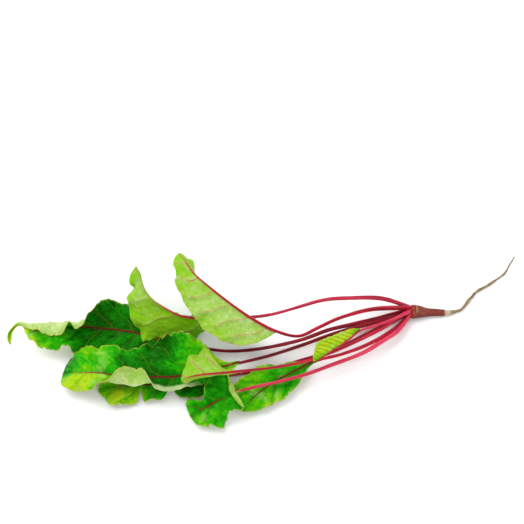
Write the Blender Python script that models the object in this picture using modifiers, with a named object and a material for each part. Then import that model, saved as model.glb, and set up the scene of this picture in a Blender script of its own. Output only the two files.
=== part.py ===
"""A young beetroot pulled whole: the root with its crown, and nine leaves lying in a loose fan.

The plant lies on a table. +X runs from the crown to the root's tip, the leaves point to -X, and +Z is up.
The origin is the small flat spot under the crown, at the height of the table.
"""

import math
from dataclasses import dataclass

import bmesh
import bpy
import numpy as np
from mathutils import Matrix, Vector

MM = 0.001

# Driving dimensions, in millimetres
CROWN_HEIGHT = 5.4
CROWN_FACE_X = -7.0
STALK_GAP = 0.3
STRAIGHT_START = 4.5
SQUARE_START = 1.5
RING_RADIUS = 3.9
CORE_RADIUS = 1.25
RING_BASE_RADIUS = 1.4
CORE_BASE_RADIUS = 1.1
STALK_FULL_RADIUS = 1.8
STALK_NECK_RADIUS = 1.2
RIB_TIP_RADIUS = 0.45
FULL_FROM = 0.15
BLADE_THICKNESS = 0.7
RIB_GAP = 0.35
ROW_SPACING = 4.4
COLUMNS_A_SIDE = 5
STALK_POINT_SPACING = 8.0
STALK_ROUNDNESS = 2
ROOT_POINT_SPACING = 2.0
ROOT_ROUNDNESS = 4
WAVE_FROM = 0.25
WAVE_SIDE_SHIFT = 1.9
SECOND_WAVE = 0.5
SECOND_WAVE_PACE = 1.7
FULL_WAVE_HALF_WIDTH = 12.0
SECTION_STEPS = 24
CURVE_STEPS = 24
LIST_STEPS = 12
TABLE_SIZE = 200.0
TABLE_DEPTH = 10.0
WELD = 0.01

# The root's centre line and its radius along it: (x, y, z, radius)
ROOT_AXIS = (
    (-7.0, 0.9, 5.4, 5.0),
    (-6.2, 0.9, 5.4, 5.6),
    (-4.4, 0.9, 5.4, 5.7),
    (-1.8, 1.1, 4.9, 5.3),
    (0.8, 1.1, 4.5, 4.9),
    (3.4, 1.2, 3.9, 4.25),
    (6.4, 1.3, 3.3, 3.6),
    (10.2, 1.4, 3.0, 3.15),
    (14.0, 1.4, 2.95, 3.0),
    (17.8, 1.3, 2.75, 2.75),
    (20.9, 1.2, 2.65, 2.6),
    (23.7, 1.3, 2.45, 2.35),
    (26.0, 1.7, 2.2, 1.95),
    (27.9, 2.4, 2.0, 1.4),
    (32.1, 3.5, 1.7, 1.1),
    (34.9, 4.6, 1.6, 1.05),
    (37.5, 7.0, 1.6, 1.05),
    (39.9, 10.2, 1.6, 1.2),
    (42.6, 14.1, 1.6, 1.25),
    (45.6, 17.3, 1.5, 1.1),
    (47.6, 20.1, 1.4, 1.0),
    (51.7, 23.4, 1.3, 1.0),
    (56.1, 25.9, 1.3, 1.0),
    (59.7, 28.0, 1.3, 1.05),
    (64.2, 31.3, 1.2, 1.0),
    (69.4, 35.2, 1.0, 0.65),
    (73.2, 38.1, 1.0, 0.7),
    (75.4, 40.4, 1.0, 0.75),
    (77.6, 44.0, 0.9, 0.55),
    (79.8, 48.1, 0.9, 0.6),
    (82.2, 51.8, 0.8, 0.45),
    (84.8, 56.3, 0.7, 0.35),
)

RED = (0.42, 0.02, 0.06, 1.0)
GREEN = (0.16, 0.42, 0.03, 1.0)
BROWN = (0.32, 0.11, 0.07, 1.0)


@dataclass
class Leaf:
    """One leaf, in millimetres and degrees.

    seat is its angle and radius on the crown's end face; path runs from the crown to the tip; neck is the
    place in path where the blade starts. Lists in the other values are read at even steps from the neck to
    the tip. roll turns the blade about its rib. Side a is the far side and side b the near side of a blade
    that isn't rolled: half is how wide a side is, fold lifts it at the rib, and curl bends it upwards over
    the stretch of its width that bend gives. wave is the height, number and phase of the margin's waves.
    """

    number: int
    seat: tuple
    path: tuple
    neck: int
    roll: tuple
    half_a: tuple
    fold_a: tuple
    curl_a: tuple
    half_b: tuple
    fold_b: tuple
    curl_b: tuple
    wave: tuple
    bend_a: tuple = (0.0, 1.0)
    bend_b: tuple = (0.0, 1.0)
    stoutness: float = 1.0


LEAVES = (
    Leaf(
        number=1,
        seat=(13, RING_RADIUS),
        path=((-31, 9, 13), (-57, 9, 14), (-82, 7, 13), (-124, -5, 11), (-156, -10, 15),
              (-178, -13, 20), (-191, -14, 24), (-199, -13, 27), (-211, -8, 32), (-219, -3, 35),
              (-225, 5, 37), (-229, 16, 38), (-233, 26, 37)),
        neck=4,
        roll=(150, 150, 145, 130),
        half_a=(2, 12, 17, 21, 26, 29, 24, 12, 5.5, 2),
        fold_a=(10, 0, 0, 5, 10),
        curl_a=(0, 0, -10, 10, 20),
        half_b=(2, 8, 14, 18, 18, 16, 14, 10, 5, 2),
        fold_b=(50, 70, 80, 70),
        curl_b=(10, 20, 20, 20),
        wave=(2.4, 4.3, 0.6),
    ),
    Leaf(
        number=2,
        seat=(64, RING_RADIUS),
        path=((-40, -4, 19), (-66, -13, 22), (-85, -23, 23), (-101, -31, 24), (-119, -29, 29),
              (-137, -22, 36), (-154, -12, 42), (-170, 0, 46), (-184, 13, 47), (-192, 26, 45),
              (-198, 37, 40)),
        neck=4,
        roll=(160, 152, 150),
        half_a=(2, 17, 25, 28, 28, 25, 22, 16, 9, 3),
        fold_a=(8, 5, 5),
        curl_a=(5, 15, 20),
        half_b=(2, 14, 22, 25, 25, 23, 20, 14, 8, 3),
        fold_b=(45, 65, 60),
        curl_b=(10, 20, 20),
        wave=(2.2, 4.6, 0.0),
    ),
    Leaf(
        number=3,
        seat=(321, RING_RADIUS),
        path=((-32, -5, 6), (-57, -12, 7), (-76, -17, 7), (-100, -26, 6), (-132, -33, 5),
              (-160, -35, 5), (-188, -30, 5), (-214, -24, 5), (-234, -19, 5), (-256, -16, 6), (-273, -16, 9),
              (-295, -16, 13), (-314, -17, 16), (-329, -20, 12), (-336, -28, 1.5)),
        neck=6,
        roll=(0, -5, -8, -10, -10),
        half_a=(2, 13, 20, 23, 23.5, 24, 24, 20, 18, 15, 7, 4, 3.2),
        fold_a=(10, 5, 5, 5, 10, 20, 20, 20),
        curl_a=(0, 0, 0, 20, 120, 160, 150, 60),
        bend_a=(0.0, 0.4),
        half_b=(2, 12, 20, 24, 26, 26, 25, 23, 21, 20, 12, 4.5, 3.5),
        fold_b=(0, -5, -5, -5, 0),
        curl_b=(0, 0, 0, 0, 10),
        wave=(2.0, 5.5, 0.3),
    ),
    Leaf(
        number=4,
        seat=(240, CORE_RADIUS),
        path=((-32, -9, 8), (-57, -17, 10), (-76, -24, 11), (-100, -34, 12), (-124, -43, 13),
              (-148, -50, 14), (-171, -57, 15), (-197, -63, 16), (-219, -64, 17), (-243, -63, 17),
              (-260, -60, 16), (-279, -58, 12), (-290, -57, 5)),
        neck=5,
        roll=(-5, -12, -12, -5),
        half_a=(3, 5, 24, 36, 37, 32, 26, 22, 25, 19, 14, 6),
        fold_a=(15, 10, 5, 5),
        curl_a=(0, 0, 0, 10),
        half_b=(3, 7, 9, 9, 9, 13, 24, 24, 16, 15, 12, 6),
        fold_b=(-12, -18, -6, -10, -10),
        curl_b=(0, 0, 0, 0, 0, 40, 165, 165, 60, 0, 0, 0),
        bend_b=(0.25, 0.55),
        wave=(2.6, 4.4, 1.2),
    ),
    Leaf(
        number=5,
        seat=(116, RING_RADIUS),
        path=((-24, -12, 16), (-37, -19, 20), (-51.5, -26, 23.5), (-60, -34, 25), (-68, -40.5, 26),
              (-76, -46, 26), (-84, -51.5, 26), (-89.5, -54, 25.5)),
        neck=2,
        roll=(-25, -30, -30),
        half_a=(1.5, 6, 8, 9.5, 11, 12, 9, 3),
        fold_a=(10, 0, 0),
        curl_a=(0, 10, 15),
        half_b=(1, 1.2, 1.5, 1.5, 1.5, 1.2, 1),
        fold_b=(60, 60, 60),
        curl_b=(0, 0, 0),
        wave=(0.8, 3, 0.0),
        stoutness=0.75,
    ),
    Leaf(
        number=6,
        seat=(60, CORE_RADIUS),
        path=((-32, -19, 15), (-57, -34, 18), (-74, -43, 20), (-96, -53, 23), (-124, -60, 26),
              (-147, -64, 29), (-157, -66, 31), (-173, -68, 32), (-183, -69, 31), (-189, -70, 29),
              (-193.5, -71, 26.5)),
        neck=5,
        roll=(160, 155, 150),
        half_a=(2, 2, 2, 2.5, 3, 4, 3),
        fold_a=(60, 60, 40),
        curl_a=(10, 10, 10),
        half_b=(2, 2, 3, 6, 13, 21, 25, 24, 18, 11, 3),
        fold_b=(10, 5, 10),
        curl_b=(0, 10, 20),
        wave=(1.4, 2.5, 0.0),
        stoutness=0.85,
    ),
    Leaf(
        number=7,
        seat=(219, RING_RADIUS),
        path=((-22, -16, 6), (-44, -30, 7), (-66, -39, 7), (-84, -44, 7), (-98, -51, 7),
              (-112, -59, 7), (-126, -68, 7), (-136, -76, 6), (-143, -83, 4)),
        neck=4,
        roll=(0, -5, 0),
        half_a=(2, 9, 15, 18, 18, 16, 8),
        fold_a=(15, 5, 10),
        curl_a=(0, 0, 0),
        half_b=(2, 8, 14, 16, 15, 11, 4),
        fold_b=(5, -8, -5),
        curl_b=(0, -5, 0),
        wave=(1.6, 3.4, 0.0),
    ),
    Leaf(
        number=8,
        seat=(167, RING_RADIUS),
        path=((-19, -18, 9), (-32, -29, 12), (-49, -41, 14), (-74, -52, 15), (-94, -60, 15),
              (-114, -66, 15), (-134, -70, 13), (-145, -73, 13), (-154.5, -77, 13), (-165, -82, 11.5),
              (-177, -88, 8), (-186, -93, 4)),
        neck=7,
        roll=(0, -10, -10),
        half_a=(2, 14, 19, 22, 21, 19.5, 17, 12, 6.5, 8, 12, 12.5, 8),
        fold_a=(8, 12, 10, 0),
        curl_a=(0, 0, 10),
        half_b=(2, 17, 18, 15, 12, 13, 18, 21, 19, 15, 13, 10.5, 7),
        fold_b=(10, -5, -5),
        curl_b=(0, -15, 0),
        wave=(2.4, 3.6, 0.0),
    ),
    Leaf(
        number=9,
        seat=(270, RING_RADIUS),
        path=((-33, -12, 2), (-57, -25, 2), (-75, -34, 2), (-99, -42, 2), (-124, -50, 2),
              (-148, -54, 2), (-160, -56, 2), (-171, -59, 3), (-184, -62, 4), (-208, -65, 4),
              (-232, -65, 4), (-253, -67, 4), (-261, -69.5, 3)),
        neck=7,
        roll=(0, 0, 0),
        half_a=(2, 7, 9, 9, 9, 9, 9, 9, 8, 6, 3),
        fold_a=(5, 5, 5),
        curl_a=(0, 0, 0),
        half_b=(2, 15, 13.5, 12, 12, 14, 16, 17.5, 17.5, 16, 5),
        fold_b=(0, -5, 0),
        curl_b=(0, 0, 0),
        wave=(1.2, 3, 0.5),
        stoutness=0.8,
    ),
)


def smooth(given, steps):
    """The curve through the given rows of numbers, with this many steps between each two."""
    given = np.array(given, float)
    ends = np.vstack([2 * given[0] - given[1], given, 2 * given[-1] - given[-2]])
    t = (np.arange(steps) / steps)[:, None]
    parts = []
    for before, start, stop, after in zip(ends, ends[1:], ends[2:], ends[3:]):
        parts.append(
            0.5 * (2 * start + (stop - before) * t + (2 * before - 5 * start + 4 * stop - after) * t**2
                   + (3 * start - before - 3 * stop + after) * t**3)
        )
    return np.vstack([*parts, given[-1]])


def smooth_path(points, spacing):
    """Points an even step apart along a smooth curve through the given ones, and how far along each is."""
    line = smooth(points, CURVE_STEPS)
    lengths = np.concatenate([[0], np.cumsum(np.linalg.norm(np.diff(line, axis=0), axis=1))])
    count = max(2, round(lengths[-1] / spacing) + 1)
    wanted = np.linspace(0, lengths[-1], count)
    even = np.stack([np.interp(wanted, lengths, line[:, k]) for k in range(3)], axis=1)
    return even, wanted


def seat_point(leaf):
    """Where the leaf's stalk stands on the crown's end face."""
    angle, radius = math.radians(leaf.seat[0]), leaf.seat[1]
    return (
        CROWN_FACE_X - STALK_GAP,
        ROOT_AXIS[0][1] + radius * math.cos(angle),
        CROWN_HEIGHT + radius * math.sin(angle),
    )


def stalk_line(leaf, spacing):
    """The leaf's centre line, how far along each point is, and how far along the blade starts."""
    seat = seat_point(leaf)
    straight = (seat[0] - STRAIGHT_START, seat[1], seat[2])
    points, distance = smooth_path((seat, straight, *leaf.path), spacing)
    neck = np.array(leaf.path[leaf.neck])
    start = distance[np.argmin(np.linalg.norm(points - neck, axis=1))]
    return points, distance, start


def stalk_radius(leaf, distance, neck, length):
    """Radius of the stalk, and past the neck of the rib, at a distance from the crown."""
    base = CORE_BASE_RADIUS if leaf.seat[1] == CORE_RADIUS else RING_BASE_RADIUS
    places = (0, FULL_FROM * neck, neck, length)
    radii = (base, *(r * leaf.stoutness for r in (STALK_FULL_RADIUS, STALK_NECK_RADIUS, RIB_TIP_RADIUS)))
    return np.interp(distance, places, radii)


def along(values, u):
    """A value given at even steps from the neck to the tip, read smoothly at u."""
    line = smooth(np.array(values, float)[:, None], LIST_STEPS)[:, 0]
    return np.interp(u, np.linspace(0, 1, len(line)), line)


def frames(points, leaf, neck, distance):
    """The rib's tangents, and the upper face's normals carried along it without twist and then rolled."""
    tangents = np.gradient(points, axis=0)
    tangents /= np.linalg.norm(tangents, axis=1)[:, None]
    normal = Vector((0, 0, 1))
    normals = []
    for tangent in tangents:
        tangent = Vector(tangent)
        normal = (normal - normal.dot(tangent) * tangent).normalized()
        normals.append(normal.copy())
    u = np.clip((distance - neck) / (distance[-1] - neck), 0, 1)
    rolls = np.radians(along(leaf.roll, u))
    rolled = []
    for angle, tangent, normal in zip(rolls, tangents, normals):
        rolled.append(Matrix.Rotation(angle, 3, Vector(tangent)) @ normal)
    return tangents, np.array(rolled, float)


def side_section(fold, curl, bend, reach):
    """How far out and up a side is at this reach, as shares of its width, and its angle there."""
    steps = np.linspace(0, reach, SECTION_STEPS + 1)
    share = np.clip((steps - bend[0]) / (bend[1] - bend[0]), 0, 1)
    angle = np.radians(fold + curl * share)
    out = np.trapz(np.cos(angle), steps)
    up = np.trapz(np.sin(angle), steps)
    return out, up, angle[-1]


def blade_point(leaf, rib, u, v):
    """A point of the blade: u runs from neck to tip, v from -1 at side b's margin to 1 at side a's."""
    at = u * (len(rib["centre"]) - 1)
    low = min(int(at), len(rib["centre"]) - 2)
    share = at - low
    centre = (1 - share) * rib["centre"][low] + share * rib["centre"][low + 1]
    tangent = (1 - share) * rib["tangent"][low] + share * rib["tangent"][low + 1]
    normal = (1 - share) * rib["normal"][low] + share * rib["normal"][low + 1]
    radius = (1 - share) * rib["radius"][low] + share * rib["radius"][low + 1]
    if v >= 0:
        side, half, fold, curl, bend = 1, leaf.half_a, leaf.fold_a, leaf.curl_a, leaf.bend_a
    else:
        side, half, fold, curl, bend = -1, leaf.half_b, leaf.fold_b, leaf.curl_b, leaf.bend_b
    half = along(half, u)
    fold = along(fold, u)
    across = np.cross(tangent, normal) * side
    out, up, end_angle = side_section(fold, along(curl, u), bend, abs(v))
    height, waves, phase = leaf.wave
    ramp = max(0.0, (abs(v) - WAVE_FROM) / (1 - WAVE_FROM)) ** 2
    turn = 2 * math.pi * waves * u + phase + WAVE_SIDE_SHIFT * side
    swell = math.sin(turn) + SECOND_WAVE * math.sin(SECOND_WAVE_PACE * turn + 1)
    swell *= height * ramp * min(1, half / FULL_WAVE_HALF_WIDTH)
    lift = normal * math.cos(end_angle) - across * math.sin(end_angle)
    sit = (radius + RIB_GAP + BLADE_THICKNESS / 2) / math.cos(math.radians(min(fold, 0)))
    return centre + normal * sit + half * (across * out + normal * up) + lift * swell


def rib_frame(leaf):
    """Even samples of the rib's centre, tangent, normal and radius from neck to tip, and its length."""
    points, distance, neck = stalk_line(leaf, 1.0)
    tangents, normals = frames(points, leaf, neck, distance)
    radius = stalk_radius(leaf, distance, neck, distance[-1])
    kept = distance >= neck
    rib = {
        "centre": points[kept],
        "tangent": tangents[kept],
        "normal": normals[kept],
        "radius": radius[kept],
    }
    return rib, distance[-1] - neck


def material(name, colour, roughness):
    made = bpy.data.materials.new(name)
    made.use_nodes = True
    shader = made.node_tree.nodes["Principled BSDF"]
    shader.inputs["Base Color"].default_value = colour
    shader.inputs["Roughness"].default_value = roughness
    return made


def tube(name, points, radii, resolution, collection):
    """A curve object with filled caps, thick as radii says."""
    curve = bpy.data.curves.new(name, "CURVE")
    curve.dimensions = "3D"
    curve.bevel_depth = MM
    curve.bevel_resolution = resolution
    curve.use_fill_caps = True
    spline = curve.splines.new("POLY")
    spline.points.add(len(points) - 1)
    for place, point, radius in zip(spline.points, points, radii):
        place.co = (*(float(c) * MM for c in point), 1)
        place.radius = float(radius)
    made = bpy.data.objects.new(name, curve)
    collection.objects.link(made)
    return made


def meshed(obj, collection):
    """The curve object made a mesh object with its caps welded."""
    bpy.context.view_layer.update()
    graph = bpy.context.evaluated_depsgraph_get()
    mesh = bpy.data.meshes.new_from_object(obj.evaluated_get(graph))
    shape = bmesh.new()
    shape.from_mesh(mesh)
    bmesh.ops.remove_doubles(shape, verts=shape.verts, dist=WELD * MM)
    bmesh.ops.recalc_face_normals(shape, faces=shape.faces)
    shape.to_mesh(mesh)
    shape.free()
    name = obj.name
    matrix = obj.matrix_world.copy()
    curve = obj.data
    bpy.data.objects.remove(obj)
    bpy.data.curves.remove(curve)
    made = bpy.data.objects.new(name, mesh)
    made.matrix_world = matrix
    collection.objects.link(made)
    return made


def cut(obj, cutter):
    """The cutter taken out of the object, applied; the cutter is removed."""
    modifier = obj.modifiers.new("Cut", "BOOLEAN")
    modifier.operation = "DIFFERENCE"
    modifier.solver = "EXACT"
    modifier.object = cutter
    bpy.context.view_layer.update()
    graph = bpy.context.evaluated_depsgraph_get()
    mesh = bpy.data.meshes.new_from_object(obj.evaluated_get(graph))
    obj.modifiers.clear()
    old = obj.data
    obj.data = mesh
    bpy.data.meshes.remove(old)
    bpy.data.objects.remove(cutter)


def make_stalk(leaf, plant, red):
    points, distance, neck = stalk_line(leaf, STALK_POINT_SPACING)
    radii = stalk_radius(leaf, distance, neck, distance[-1])
    points = np.vstack([points[0], points[0] - (SQUARE_START, 0, 0), points[1:]])
    radii = np.concatenate([radii[:1], radii])
    made = tube(f"leaf_stalk_{leaf.number}", points, radii, STALK_ROUNDNESS, plant)
    made.data.materials.append(red)
    return made


def make_blade(leaf, plant, green):
    """A grid whose corners are moved onto the blade's surface, then given its thickness."""
    rib, length = rib_frame(leaf)
    shape = bmesh.new()
    rows = round(length / ROW_SPACING)
    bmesh.ops.create_grid(shape, x_segments=rows, y_segments=2 * COLUMNS_A_SIDE, size=1)
    for vert in shape.verts:
        u = (vert.co.x + 1) / 2
        vert.co = Vector(blade_point(leaf, rib, u, vert.co.y)) * MM
    bmesh.ops.triangulate(shape, faces=shape.faces)
    mesh = bpy.data.meshes.new(f"leaf_blade_{leaf.number}")
    shape.to_mesh(mesh)
    shape.free()
    mesh.shade_smooth()
    made = bpy.data.objects.new(f"leaf_blade_{leaf.number}", mesh)
    plant.objects.link(made)
    solid = made.modifiers.new("Thickness", "SOLIDIFY")
    solid.thickness = BLADE_THICKNESS * MM
    solid.offset = 0
    mesh.materials.append(green)
    return made


def make_root(plant, brown):
    """The swollen crown and the tapering tap root as one solid, with a flat spot under the crown."""
    given = np.array(ROOT_AXIS)
    line, distance = smooth_path(given[:, :3], ROOT_POINT_SPACING)
    near = [distance[np.argmin(np.linalg.norm(line - p, axis=1))] for p in given[:, :3]]
    radii = np.interp(distance, near, given[:, 3])
    body = meshed(tube("root", line, radii, ROOT_ROUNDNESS, plant), plant)
    bpy.ops.mesh.primitive_cube_add(size=MM, location=(0, 0, -TABLE_DEPTH / 2 * MM))
    table = bpy.context.object
    table.name = "table_cutter"
    table.scale = (TABLE_SIZE, TABLE_SIZE, TABLE_DEPTH)
    cut(body, table)
    body.data.shade_smooth()
    body.data.materials.clear()
    body.data.materials.append(brown)


def main():
    for obj in list(bpy.data.objects):
        bpy.data.objects.remove(obj)
    plant = bpy.data.collections.new("beetroot")
    bpy.context.scene.collection.children.link(plant)
    red = material("leaf_stalk", RED, 0.4)
    green = material("leaf_blade", GREEN, 0.45)
    brown = material("root_skin", BROWN, 0.7)
    make_root(plant, brown)
    for leaf in LEAVES:
        make_stalk(leaf, plant, red)
        make_blade(leaf, plant, green)


main()
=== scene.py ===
"""A young beetroot plant on a pale floor: quilted leaves on crimson stalks, and a slim root.

The leaf table and the shape functions follow part.py, in millimetres, and are read more finely.
The table differs from part.py's where the soft blades needed it.
"""

import math
from dataclasses import dataclass

import bpy
import numpy as np
from mathutils import Matrix, Vector


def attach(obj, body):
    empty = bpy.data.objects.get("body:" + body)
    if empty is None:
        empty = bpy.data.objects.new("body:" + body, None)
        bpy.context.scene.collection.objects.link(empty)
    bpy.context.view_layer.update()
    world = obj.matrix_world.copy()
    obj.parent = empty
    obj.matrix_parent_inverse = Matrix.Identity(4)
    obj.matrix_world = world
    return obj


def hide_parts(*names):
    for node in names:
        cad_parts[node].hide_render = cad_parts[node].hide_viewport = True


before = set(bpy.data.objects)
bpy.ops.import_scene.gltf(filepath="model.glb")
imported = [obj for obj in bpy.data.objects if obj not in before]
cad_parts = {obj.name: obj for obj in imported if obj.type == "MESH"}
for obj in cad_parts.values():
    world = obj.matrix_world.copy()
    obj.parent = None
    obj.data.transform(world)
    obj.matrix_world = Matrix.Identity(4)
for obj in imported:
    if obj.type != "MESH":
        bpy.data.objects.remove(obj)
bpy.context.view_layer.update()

MM = 0.001

# Camera: the photo is taken from above at a slant
CAMERA_ELEVATION = 60.0
CAMERA_LENS = 85.0
CAMERA_SENSOR = 36.0
PIXELS = 524
METRES_PER_PIXEL = 0.00085
CAMERA_TARGET = (-0.13005, 0.0513, 0.0)

# Stage: each light's name, place, size and power
LIGHT_TARGET = (-0.14, 0, 0)
LIGHTS = (
    ("key", (-0.75, 0.45, 1.15), 1.4, 14),
    ("front_fill", (0.3, -1.3, 0.9), 1.2, 5),
    ("right", (1.0, 0.4, 0.9), 0.9, 3),
)
FLOOR_REACH = 4.0
FLOOR_COLOUR = (0.92, 0.92, 0.92)
FLOOR_ROUGHNESS = 0.8
SKY_STRENGTH = 0.85

# Sizes shared with part.py
CROWN_HEIGHT = 5.4
CROWN_FACE_X = -7.0
STALK_GAP = 0.3
STRAIGHT_START = 1.2
RING_RADIUS = 3.9
CORE_RADIUS = 1.25
RING_BASE_RADIUS = 1.4
CORE_BASE_RADIUS = 1.1
STALK_FULL_RADIUS = 1.8
STALK_NECK_RADIUS = 1.2
RIB_TIP_RADIUS = 0.45
FULL_FROM = 0.15
WAVE_FROM = 0.25
WAVE_SIDE_SHIFT = 1.9
SECOND_WAVE = 0.5
SECOND_WAVE_PACE = 1.7
FULL_WAVE_HALF_WIDTH = 12.0
CURVE_STEPS = 24
LIST_STEPS = 12

# Fine detail of the blades: millimetres, degrees and shares
GRID = 0.8
SECTION_STEPS = 4
THICKNESS = 0.42
NECK_HALF_WIDTH = 0.9
RIB_SINK = 1.05
RIB_FADE = 0.8
LEAST_COLUMNS = 8
PHASE_PER_LEAF = 1.7
LIP_FROM = 0.45
LIP_ANGLE = 26.0
LIP_WAVES = ((23.0, 1.0), (12.5, 0.6), (7.4, 0.3))
LOBES = ((17.0, 0.075), (6.3, 0.04), (3.1, 0.03))
LOBE_ROUNDNESS = 0.6
LOBE_REACH = 0.04
LOBE_DRIFT = 0.3
LOBE_DRIFT_LENGTH = 1.7
LEAST_LOBES = 0.2
LOBES_START = (0.03, 0.15)
TIP_ROUNDING = 0.94
TIP_LEAST = 0.002
VEIN_SHARE = 0.62
VEIN_ANGLE = 52.0
VEIN_ARCH = 0.006
VEIN_DEPTH = 0.55
VEIN_WIDTH = 1.2
VEIN_WANDER = (0.10, 0.07)
WANDER_LENGTHS = (13.0, 4.0, 9.0)
WANDER_FULL_FROM = 6.0
SIDE_B_VEIN_SHIFT = 0.42
LEAF_VEIN_SHIFT = 0.3
FORK = 0.2
FORK_FROM = 0.5
PANEL_HEIGHT = 1.5
PANEL_POWER = 0.8
DRIFT_HEIGHT = 0.35
DRIFT_LENGTHS = (5.1, 4.3, 17.0)
FULL_RELIEF_SPACING = 10.0
BULGE_HEIGHT = 0.6
SMALL_HEIGHT = 0.2
BULGE_SIZE = 7.0
SMALL_SIZE = 0.42
BULGE_SEED = 7.0
SMALL_SEED = 3.0
SMALL_SEED_FROM = 5
CELL_EDGE = 1.1
FULL_RELIEF_HALF_WIDTH = 16.0
GROOVE_FADE = 0.6
RIB_CALM = (0.5, 6.0)
MARGIN_CALM = 0.5
MARGIN_CALM_FROM = 0.8
# Painted light and shade of the relief: how much panels, bulges and small bulges lighten the
# colour, and where out from the rib it starts
BULGE_SHADING_BY = (0.4, 0.4, 0.2)
BULGE_SHADING_START = (0.5, 4.0)
TABLE_EASE = 0.8
TURN_STEPS = 60
CREASE_WIDTH = 0.09
CREASE_CURL = (90, 150)
PALE_LIP_END = 0.04
SECOND_EDGE = 0.25
FLAT_STEP = 40.0
SHORTEST = 1e-6

# Uneven waves, and the field of jittered points
WAVE_PHASE = 1.3
WAVE_START = 2.1
UNEVENNESS = 0.8
UNEVEN_PACE = 0.37
HASHES = ((127.1, 311.7), (269.5, 183.3))
HASH_SCALE = 43758.5
JITTER_FROM = 0.15
JITTER = 0.7
FAR = 9.0

# Fine detail of the stalks and the root
STALK_SIDES = 20
STALK_STEP = 1.5
GROOVE_DEPTH = 0.22
GROOVE_WIDTH = 0.55
GROOVE_START = (8.0, 30.0)
GROOVE_END = (-4, 6)
COLLAR = 0.30
COLLAR_LENGTH = 18.0
RIB_SLIMMING = 0.5
RIB_SLIM_FROM = 0.6
ROLL_FROM = 0.2
STALK_SUNK = 0.9
STALK_RIBS = (0.028, 7)
STALK_WAVES = ((31.0, 1.0), (13.0, 0.6))
STALK_WAVE_HEIGHT = 0.03
STRIPE_RADIUS = 1.5
STRIPE_STEP = 9.0
RIB_LOOKS = (-10, 12)
FADE_LENGTH = 6
ROOT_SIDES = 44
ROOT_STEP = 0.5
ROOT_CROWN_END = (3.0, 12.0)
ROOT_BODY_END = (20.0, 34.0)
ROOT_RIDGES = ((0.016, 9, 0.8), (0.012, 17, 2.0))
WRINKLES = ((2.3, 0.5), (1.3, 0.4), (4.1, 0.6))
WRINKLE_PHASE = 0.7
WRINKLE_HEIGHT = 0.010
WRINKLE_ROUND = (0.6, 3, 1)
SCAR_HEIGHT = 0.03
SCAR_SPACING = 3.2
SCAR_COUNT = 5
SCAR_START = 1.2
KNOTS = ((9.0, 0.05), (5.2, 0.06), (15.0, 0.05))
KNOT_PHASE = 2.2
KNOT_ROUND = (0.3, 2, 0)
DOME_SHARES = (0.25, 0.5, 0.72, 0.88, 0.96)
DOME_BACK = (0.75, 0.66, 0.48, 0.26, 0.1)

# Rows of x, y, height of the centre line and radius
ROOT_AXIS = (
    (-7.0, 0.9, 5.4, 5.0), (-6.2, 0.9, 5.4, 5.6), (-4.4, 0.9, 5.4, 5.7), (-1.8, 1.1, 4.9, 5.3),
    (0.8, 1.1, 4.5, 4.9), (3.4, 1.2, 3.9, 4.25), (6.4, 1.3, 3.3, 3.6), (10.2, 1.4, 3.0, 3.15),
    (14.0, 1.4, 2.95, 3.0), (17.8, 1.3, 2.75, 2.75), (20.9, 1.2, 2.65, 2.6),
    (23.7, 1.3, 2.45, 2.35), (26.0, 1.7, 2.2, 1.95), (27.9, 2.4, 2.0, 1.4), (32.1, 3.5, 1.7, 1.1),
    (34.9, 4.6, 1.6, 1.05), (37.5, 7.0, 1.6, 1.05), (39.9, 10.2, 1.6, 1.2),
    (42.6, 14.1, 1.6, 1.25), (45.6, 17.3, 1.5, 1.1), (47.6, 20.1, 1.4, 1.0),
    (51.7, 23.4, 1.3, 1.0), (56.1, 25.9, 1.3, 1.0), (59.7, 28.0, 1.3, 1.05),
    (64.2, 31.3, 1.2, 1.0), (69.4, 35.2, 1.0, 0.65), (73.2, 38.1, 1.0, 0.7),
    (75.4, 40.4, 1.0, 0.75), (77.6, 44.0, 0.9, 0.55), (79.8, 48.1, 0.9, 0.6),
    (82.2, 51.8, 0.8, 0.45), (84.8, 56.3, 0.7, 0.35),
)


@dataclass
class Leaf:
    """One leaf as in part.py, and its looks.

    tone is the lightness of the upper side along the rib, and tone_b that of side b if it differs;
    both are partly painted shade, low where other leaves shade the blade.
    pale is the lightness of the underside, pink how pink the stalk is, and stalk_tone how light.
    stoutness is how thick the stalk is. ruffle is how wavy the margin of each side is.
    A notch is a side, a place along the rib, a depth and a width.
    pale_lip is a whitish margin of side b: its start and end along the rib, and share of the width.
    roll_back is how the base of the blade turns over: the millimetres turned over, those of them in
    the bend, and the bend's degrees. ribbed is how clearly the rib shows on the blade, red_veins
    how red all side veins are near it, and vein_share how far apart they are.
    """

    number: int
    seat: tuple
    path: tuple
    neck: int
    roll: tuple
    half_a: tuple
    fold_a: tuple
    half_b: tuple
    fold_b: tuple
    wave: tuple
    tone: tuple
    stalk_tone: float
    ruffle: tuple
    pale: tuple = (0.5, 0.5)
    pink: float = 0.0
    curl_a: tuple = (0, 0)
    curl_b: tuple = (0, 0)
    bend_a: tuple = (0.0, 1.0)
    bend_b: tuple = (0.0, 1.0)
    notches: tuple = ()
    roll_back: tuple = ()
    ribbed: tuple = (1.0, 1.0)
    vein_share: float = VEIN_SHARE
    stoutness: float = 1.0
    tone_b: tuple = ()
    pale_lip: tuple = ()
    red_veins: float = 0.0


# The tone rows are partly painted shade: they are low where other leaves shade the blade.
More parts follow.
